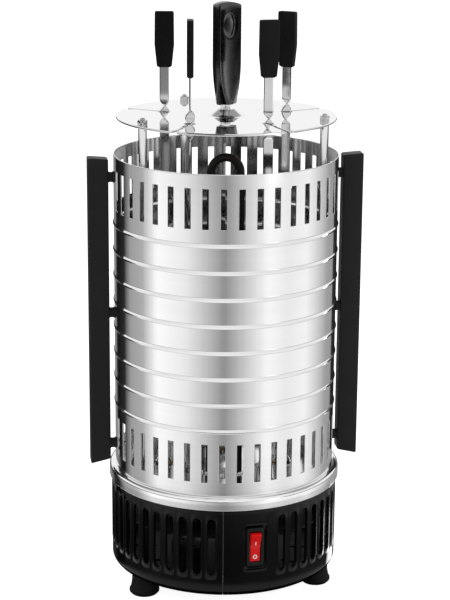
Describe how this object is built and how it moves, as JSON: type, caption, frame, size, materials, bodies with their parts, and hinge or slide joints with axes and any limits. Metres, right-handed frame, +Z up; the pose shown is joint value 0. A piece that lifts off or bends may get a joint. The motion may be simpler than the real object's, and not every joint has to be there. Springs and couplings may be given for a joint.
{
  "type": "electric skewer grill",
  "caption": "Upright electric skewer grill: a slotted steel drum lifts off a drip pan and vented black base; flat skewers turn round a hairpin heater under a disc with a handle.",
  "frame": {"origin": "centre of the plane that the feet stand on, on the drum's axis", "axes": "+Z up along the drum's axis, front with the seam and the switch towards -Y, side bars towards -X and +X"},
  "size_m": [0.2154, 0.1854, 0.4654],
  "materials": {
    "foot_rubber": "matt black rubber",
    "zinc_steel": "zinc plated",
    "black_zinc": "black zinc plated",
    "gloss_black": "gloss black moulding",
    "satin_black": "satin black moulding",
    "moulded_black": "matt black moulding",
    "sintered_bronze": "sintered bronze",
    "gear_nylon": "black nylon",
    "motor_grey": "dark plated steel can",
    "terminal_black": "matt moulding",
    "rocker_red": "translucent red moulding",
    "pan_steel": "polished stainless sheet",
    "ceramic_white": "glazed ceramic",
    "bright_steel": "bright steel",
    "heater_black": "blackened heater sheath",
    "drum_steel": "polished stainless sheet",
    "disc_steel": "mirror polished stainless sheet"
  },
  "bodies": {
    "grill": {"feet": "foot_rubber", "foot_nuts": "zinc_steel", "tie_rods": "zinc_steel", "base_shell_left": "gloss_black", "base_shell_right": "gloss_black", "base_floor": "moulded_black", "floor_screws": "zinc_steel", "lower_spacers": "black_zinc", "gear_plate": "black_zinc", "upper_spacers": "black_zinc", "lower_bushes": "sintered_bronze", "upper_bushes": "sintered_bronze", "gear_hub": "zinc_steel", "gear_retainer": "zinc_steel", "motor_body": "motor_grey", "motor_screws": "zinc_steel", "terminal_block": "terminal_black", "cord_grommet": "moulded_black", "switch_frame": "moulded_black", "drip_pan": "pan_steel", "heater_flange": "pan_steel", "heater_screws": "zinc_steel", "heater_sleeves": "ceramic_white", "heater_terminals": "bright_steel", "heater_rod": "heater_black", "posts": "bright_steel", "top_disc": "disc_steel", "post_nuts": "bright_steel", "handle_stud": "zinc_steel", "handle_collar": "bright_steel", "handle_nut": "zinc_steel", "carry_handle": "gloss_black"},
    "drum": {"drum": "drum_steel", "side_bar_left": "satin_black", "side_bar_right": "satin_black", "side_bar_screws": "zinc_steel"},
    "middle_gear": {"middle_gear": "gear_nylon"},
    "motor_drive": {"motor_shaft": "bright_steel", "motor_pinion": "gear_nylon"},
    "rocker": {"switch_rocker": "rocker_red"},
    "spindle_1": {"spindle_1": "bright_steel", "skewer_gear_1": "gear_nylon"},
    "skewer_1": {"skewer_blade_1": "bright_steel", "skewer_grip_1": "satin_black"},
    "spindle_2": {"spindle_2": "bright_steel", "skewer_gear_2": "gear_nylon"},
    "skewer_2": {"skewer_blade_2": "bright_steel", "skewer_grip_2": "satin_black"},
    "spindle_3": {"spindle_3": "bright_steel", "skewer_gear_3": "gear_nylon"},
    "skewer_3": {"skewer_blade_3": "bright_steel", "skewer_grip_3": "satin_black"},
    "spindle_4": {"spindle_4": "bright_steel", "skewer_gear_4": "gear_nylon"},
    "skewer_4": {"skewer_blade_4": "bright_steel", "skewer_grip_4": "satin_black"},
    "spindle_5": {"spindle_5": "bright_steel", "skewer_gear_5": "gear_nylon"},
    "skewer_5": {"skewer_blade_5": "bright_steel", "skewer_grip_5": "satin_black"}
  },
  "joints": [
    {"name": "drum_lift", "type": "slide", "parent": "grill", "child": "drum", "axis": [0, 0, 1], "range_m": [0, 0.37]},
    {"name": "middle_gear_spin", "type": "hinge", "parent": "grill", "child": "middle_gear", "pos_m": [0, 0, 0.068], "axis": [0, 0, 1], "continuous": true},
    {"name": "motor_spin", "type": "hinge", "parent": "grill", "child": "motor_drive", "pos_m": [0.02505, 0.03858, 0.068], "axis": [0, 0, 1], "continuous": true},
    {"name": "spindle_1_spin", "type": "hinge", "parent": "grill", "child": "spindle_1", "pos_m": [-0.0483, 0.01294, 0.09], "axis": [0, 0, 1], "continuous": true},
    {"name": "skewer_1_lift", "type": "slide", "parent": "spindle_1", "child": "skewer_1", "axis": [0, 0, 1], "range_m": [0, 0.29]},
    {"name": "spindle_2_spin", "type": "hinge", "parent": "grill", "child": "spindle_2", "pos_m": [-0.02723, -0.04193, 0.09], "axis": [0, 0, 1], "continuous": true},
    {"name": "skewer_2_lift", "type": "slide", "parent": "spindle_2", "child": "skewer_2", "axis": [0, 0, 1], "range_m": [0, 0.29]},
    {"name": "spindle_3_spin", "type": "hinge", "parent": "grill", "child": "spindle_3", "pos_m": [0.03147, -0.03886, 0.09], "axis": [0, 0, 1], "continuous": true},
    {"name": "skewer_3_lift", "type": "slide", "parent": "spindle_3", "child": "skewer_3", "axis": [0, 0, 1], "range_m": [0, 0.29]},
    {"name": "spindle_4_spin", "type": "hinge", "parent": "grill", "child": "spindle_4", "pos_m": [0.04668, 0.01792, 0.09], "axis": [0, 0, 1], "continuous": true},
    {"name": "skewer_4_lift", "type": "slide", "parent": "spindle_4", "child": "skewer_4", "axis": [0, 0, 1], "range_m": [0, 0.29]},
    {"name": "spindle_5_spin", "type": "hinge", "parent": "grill", "child": "spindle_5", "pos_m": [-0.00262, 0.04993, 0.09], "axis": [0, 0, 1], "continuous": true},
    {"name": "skewer_5_lift", "type": "slide", "parent": "spindle_5", "child": "skewer_5", "axis": [0, 0, 1], "range_m": [0, 0.29]},
    {"name": "rocker_press", "type": "hinge", "parent": "grill", "child": "rocker", "pos_m": [0.02444, -0.08412, 0.0564], "axis": [-0.9603, -0.279, 0], "range_deg": [0, 22]}
  ],
  "couplings": [
    {"joint": "motor_spin", "follows": "middle_gear_spin", "ratio": -3.6},
    {"joint": "spindle_1_spin", "follows": "middle_gear_spin", "ratio": -2.5714},
    {"joint": "spindle_2_spin", "follows": "middle_gear_spin", "ratio": -2.5714},
    {"joint": "spindle_3_spin", "follows": "middle_gear_spin", "ratio": -2.5714},
    {"joint": "spindle_4_spin", "follows": "middle_gear_spin", "ratio": -2.5714},
    {"joint": "spindle_5_spin", "follows": "middle_gear_spin", "ratio": -2.5714}
  ]
}
